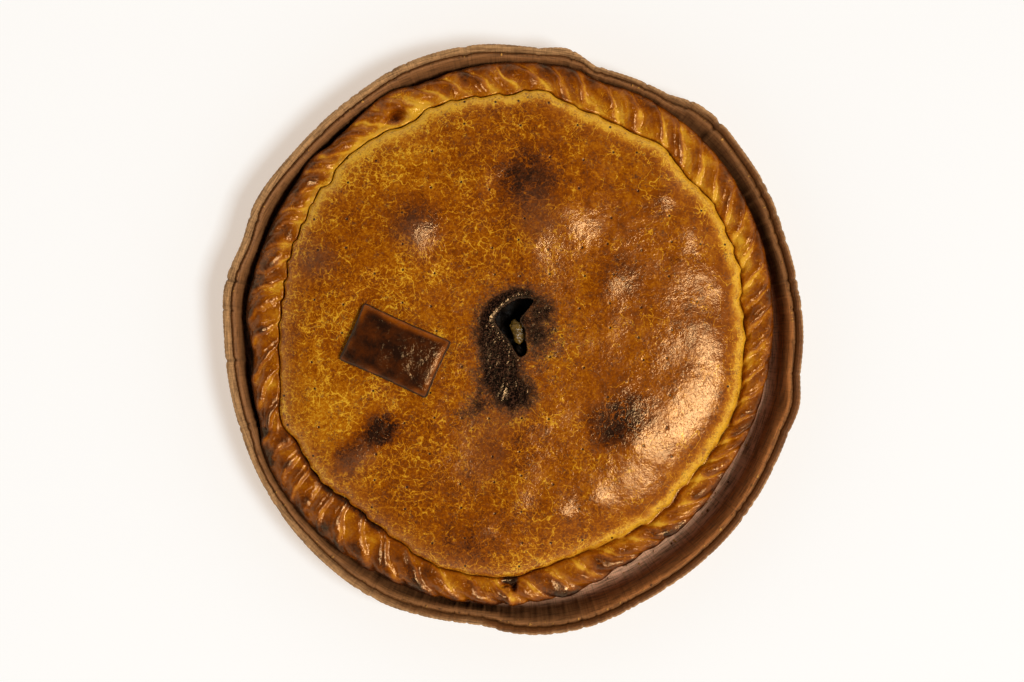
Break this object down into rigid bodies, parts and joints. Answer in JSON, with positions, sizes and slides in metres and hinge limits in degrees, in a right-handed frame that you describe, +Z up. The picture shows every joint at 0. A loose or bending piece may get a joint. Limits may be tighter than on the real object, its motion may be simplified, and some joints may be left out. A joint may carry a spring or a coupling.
{
  "type": "cuttlefish empanada",
  "caption": "Round double-crust cuttlefish empanada with a twisted border, a torn steam vent and a dough tag on its lid, in its brown pressed-paper baking mould.",
  "frame": {"origin": "under the middle of the mould, on the surface that it stands on", "axes": "+Z up, square to the mould's floor; +X to the right and +Y away as the pie is seen from above in the picture"},
  "size_m": [0.2976, 0.3028, 0.0449],
  "materials": {
    "mould_paper": "brown pressed baking paper, matt, pleated, greased by the crust",
    "border_crust": "baked dough glazed with egg, golden in the grooves and brown on the lobes",
    "filling": "wet black-brown cuttlefish and ink filling",
    "lid_crust": "golden-brown egg glaze, finely cracked, blistered and charred round the vent",
    "tag_crust": "dark brown shiny glaze"
  },
  "bodies": {
    "root": {"paper_mould": "mould_paper", "bottom_crust": "border_crust", "filling": "filling", "lid": "lid_crust", "dough_tag": "tag_crust"}
  },
  "joints": []
}
